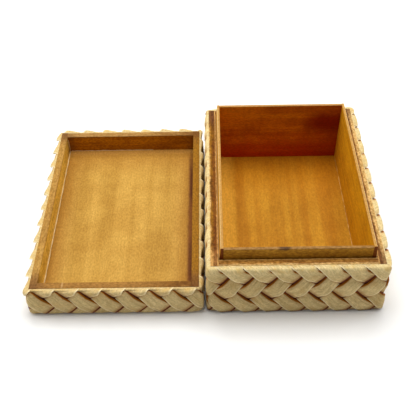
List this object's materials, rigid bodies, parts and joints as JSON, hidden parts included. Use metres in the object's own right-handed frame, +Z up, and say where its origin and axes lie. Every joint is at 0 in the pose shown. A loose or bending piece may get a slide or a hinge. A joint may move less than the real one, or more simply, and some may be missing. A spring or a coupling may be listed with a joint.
{
  "type": "ditty box",
  "caption": "Rectangular wooden keepsake box with a raised inner liner and a lift-off lid, covered outside in plaited flat strands.",
  "frame": {"origin": "centre of the base's underside, on the table", "axes": "+X across the box to the right, +Y from front to back, +Z up; the lid lies upside down on the -X side"},
  "size_m": [0.3184, 0.221, 0.073],
  "materials": {
    "casing_wood": "stained, satin",
    "liner_wood": "stained, satin",
    "panel_wood": "varnished, satin",
    "plaited_strands": "natural leaf, soft sheen"
  },
  "bodies": {
    "base": {"base_bottom_panel": "panel_wood", "base_front_board": "casing_wood", "base_back_board": "casing_wood", "base_left_board": "casing_wood", "base_right_board": "casing_wood", "liner_front_board": "liner_wood", "liner_back_board": "liner_wood", "liner_left_board": "liner_wood", "liner_right_board": "liner_wood", "base_mat_front": "plaited_strands", "base_mat_back": "plaited_strands", "base_mat_left": "plaited_strands", "base_mat_right": "plaited_strands"},
    "lid": {"lid_top_panel": "panel_wood", "lid_front_board": "casing_wood", "lid_back_board": "casing_wood", "lid_left_board": "casing_wood", "lid_right_board": "casing_wood", "lid_mat_front": "plaited_strands", "lid_mat_back": "plaited_strands", "lid_mat_left": "plaited_strands", "lid_mat_right": "plaited_strands", "lid_mat_top": "plaited_strands"}
  },
  "joints": [
    {"name": "lid_turn_over", "type": "hinge", "parent": "base", "child": "lid", "pos_m": [-0.0802, 0, 0.04615], "axis": [0, 1, 0], "range_deg": [0, 180]}
  ]
}
